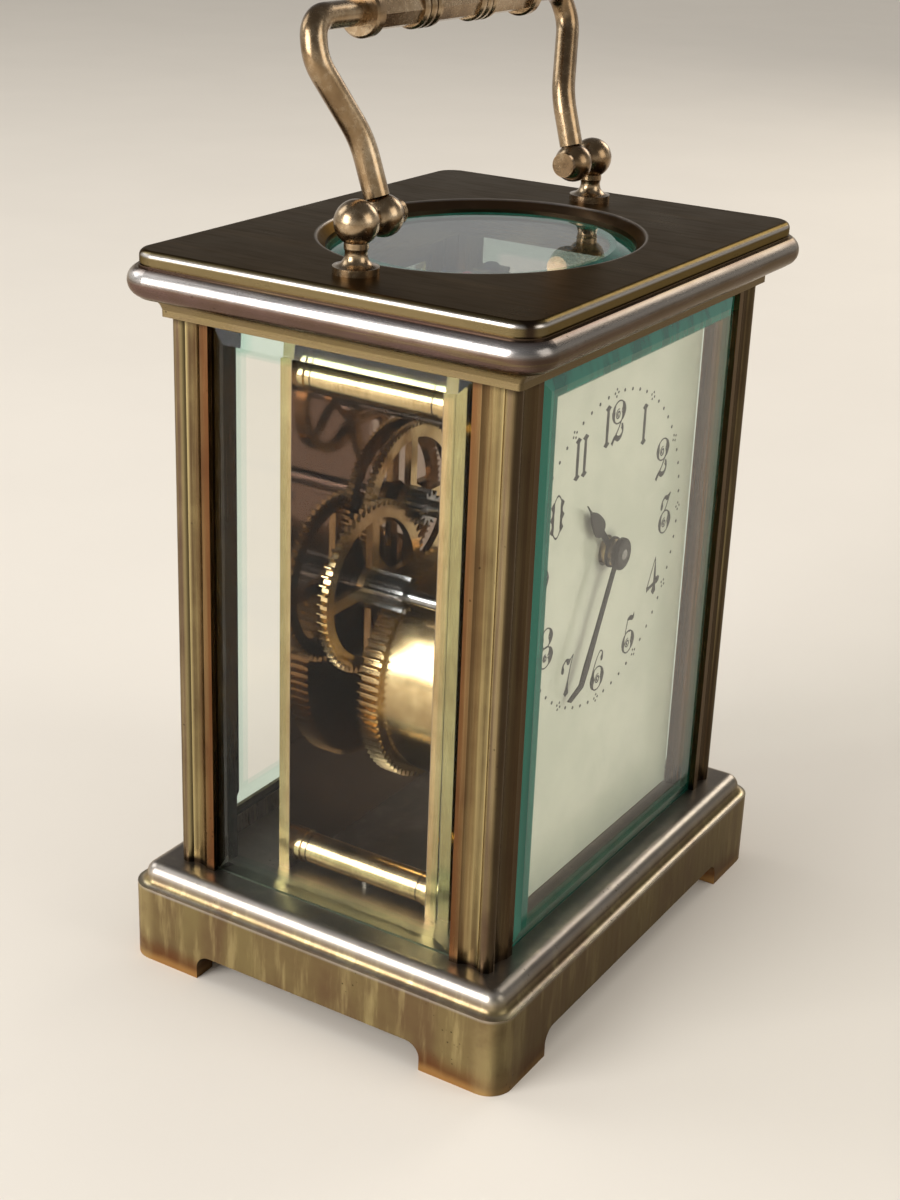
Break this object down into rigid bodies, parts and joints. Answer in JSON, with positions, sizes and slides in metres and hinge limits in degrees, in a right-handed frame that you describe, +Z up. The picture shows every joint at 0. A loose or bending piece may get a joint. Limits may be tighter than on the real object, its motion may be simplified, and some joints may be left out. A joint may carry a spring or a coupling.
{
  "type": "carriage clock",
  "caption": "Glazed brass travelling clock with a hinged carrying handle, a glazed back door, an enamel dial and a spring-driven train open to view.",
  "frame": {"origin": "middle of the footprint, on the surface that the feet stand on", "axes": "+X to the right as seen from the dial, +Y towards the back door, +Z up"},
  "size_m": [0.08, 0.063, 0.137],
  "materials": {
    "case_bronze": "darkened, worn gilt brass",
    "handle_brass": "darkened brass, polished where held",
    "clear_glass": "clear, polished bevels",
    "movement_brass": "lacquered, bright",
    "polished_steel": "polished",
    "blued_steel": "heat blued",
    "hand_steel": "dark blued, faded to brown",
    "dial_enamel": "glossy ivory enamel"
  },
  "bodies": {
    "case": {"case_base": "case_bronze", "pillar_front_left": "case_bronze", "pillar_front_right": "case_bronze", "pillar_rear_left": "case_bronze", "pillar_rear_right": "case_bronze", "cornice": "case_bronze", "top_plate": "case_bronze", "top_glass": "clear_glass", "front_glass": "clear_glass", "left_glass": "clear_glass", "right_glass": "clear_glass", "door_hinge_pins": "polished_steel", "case_screws": "polished_steel", "handle_posts": "handle_brass", "handle_pivot_screws": "handle_brass", "front_plate": "movement_brass", "back_plate": "movement_brass", "movement_pillars": "movement_brass", "plate_screws": "blued_steel", "click_spring": "blued_steel", "platform_plate": "movement_brass", "platform_screws": "blued_steel", "potence": "movement_brass", "escape_cock": "movement_brass", "lever_cock": "movement_brass", "hairspring": "blued_steel", "balance_cock": "movement_brass", "dial": "dial_enamel", "dial_backing": "movement_brass"},
    "back_door": {"door_frame": "case_bronze", "door_glass": "clear_glass", "door_knob": "case_bronze"},
    "handle": {"handle_arms": "handle_brass", "handle_grip": "handle_brass"},
    "barrel": {"barrel_drum": "movement_brass", "barrel_cover": "movement_brass", "mainspring": "blued_steel"},
    "winding": {"barrel_arbor": "polished_steel", "ratchet_wheel": "polished_steel"},
    "click_piece": {"click": "polished_steel"},
    "intermediate": {"intermediate_arbor": "polished_steel", "intermediate_wheel": "movement_brass"},
    "centre": {"centre_arbor": "polished_steel", "centre_wheel": "movement_brass", "cannon_pinion": "polished_steel", "minute_hand": "hand_steel", "hand_collet": "hand_steel"},
    "third": {"third_arbor": "polished_steel", "third_wheel": "movement_brass"},
    "contrate": {"contrate_arbor": "polished_steel", "contrate_wheel": "movement_brass"},
    "escape": {"escape_arbor": "polished_steel", "escape_wheel": "movement_brass"},
    "lever_piece": {"lever": "polished_steel"},
    "balance": {"balance_wheel": "movement_brass", "balance_staff": "polished_steel"},
    "regulator": {"regulator_index": "polished_steel"},
    "minute_work": {"minute_wheel": "movement_brass"},
    "hour_work": {"hour_wheel": "movement_brass", "hour_hand": "hand_steel"}
  },
  "joints": [
    {"name": "handle_hinge", "type": "hinge", "parent": "case", "child": "handle", "pos_m": [0, 0, 0.1105], "axis": [1, 0, 0], "range_deg": [-79.5, 113.5]},
    {"name": "door_hinge", "type": "hinge", "parent": "case", "child": "back_door", "pos_m": [-0.027, 0.0248, 0.055], "axis": [0, 0, 1], "range_deg": [0, 95]},
    {"name": "centre_spin", "type": "hinge", "parent": "case", "child": "centre", "pos_m": [0, 0, 0.0635], "axis": [0, 1, 0], "continuous": true},
    {"name": "barrel_spin", "type": "hinge", "parent": "case", "child": "barrel", "pos_m": [0, 0, 0.0394], "axis": [0, 1, 0], "continuous": true},
    {"name": "intermediate_spin", "type": "hinge", "parent": "case", "child": "intermediate", "pos_m": [-0.0119, 0, 0.05477], "axis": [0, 1, 0], "continuous": true},
    {"name": "third_spin", "type": "hinge", "parent": "case", "child": "third", "pos_m": [0.00875, 0, 0.07338], "axis": [0, 1, 0], "continuous": true},
    {"name": "contrate_spin", "type": "hinge", "parent": "case", "child": "contrate", "pos_m": [0, 0, 0.0767], "axis": [0, 1, 0], "continuous": true},
    {"name": "escape_spin", "type": "hinge", "parent": "case", "child": "escape", "pos_m": [0, -0.003, 0.088], "axis": [0, 0, 1], "continuous": true},
    {"name": "minute_work_spin", "type": "hinge", "parent": "case", "child": "minute_work", "pos_m": [0.00463, 0, 0.05798], "axis": [0, 1, 0], "continuous": true},
    {"name": "hour_work_spin", "type": "hinge", "parent": "case", "child": "hour_work", "pos_m": [0, 0, 0.0635], "axis": [0, 1, 0], "continuous": true},
    {"name": "winding_turn", "type": "hinge", "parent": "case", "child": "winding", "pos_m": [0, 0, 0.0394], "axis": [0, 1, 0], "continuous": true},
    {"name": "click_lift", "type": "hinge", "parent": "case", "child": "click_piece", "pos_m": [-0.008, 0.014, 0.0446], "axis": [0, -1, 0], "range_deg": [0, 12], "stiffness_Nm_per_rad": 0.002, "springref_deg": -5.73},
    {"name": "lever_rock", "type": "hinge", "parent": "case", "child": "lever_piece", "pos_m": [-0.00393, -0.003, 0.0944], "axis": [0, 0, 1], "range_deg": [-5, 5]},
    {"name": "balance_swing", "type": "hinge", "parent": "case", "child": "balance", "pos_m": [-0.00873, -0.003, 0.0967], "axis": [0, 0, 1], "range_deg": [-220, 220], "stiffness_Nm_per_rad": 0.0000044},
    {"name": "regulator_turn", "type": "hinge", "parent": "case", "child": "regulator", "pos_m": [-0.00873, -0.003, 0.0993], "axis": [0, 0, 1], "range_deg": [-30, 30]}
  ],
  "couplings": [
    {"joint": "barrel_spin", "follows": "centre_spin", "ratio": 0.028571},
    {"joint": "intermediate_spin", "follows": "centre_spin", "ratio": -0.2},
    {"joint": "third_spin", "follows": "centre_spin", "ratio": -10},
    {"joint": "contrate_spin", "follows": "centre_spin", "ratio": 80},
    {"joint": "escape_spin", "follows": "centre_spin", "ratio": -600},
    {"joint": "minute_work_spin", "follows": "centre_spin", "ratio": -0.33333},
    {"joint": "hour_work_spin", "follows": "centre_spin", "ratio": 0.083333}
  ]
}
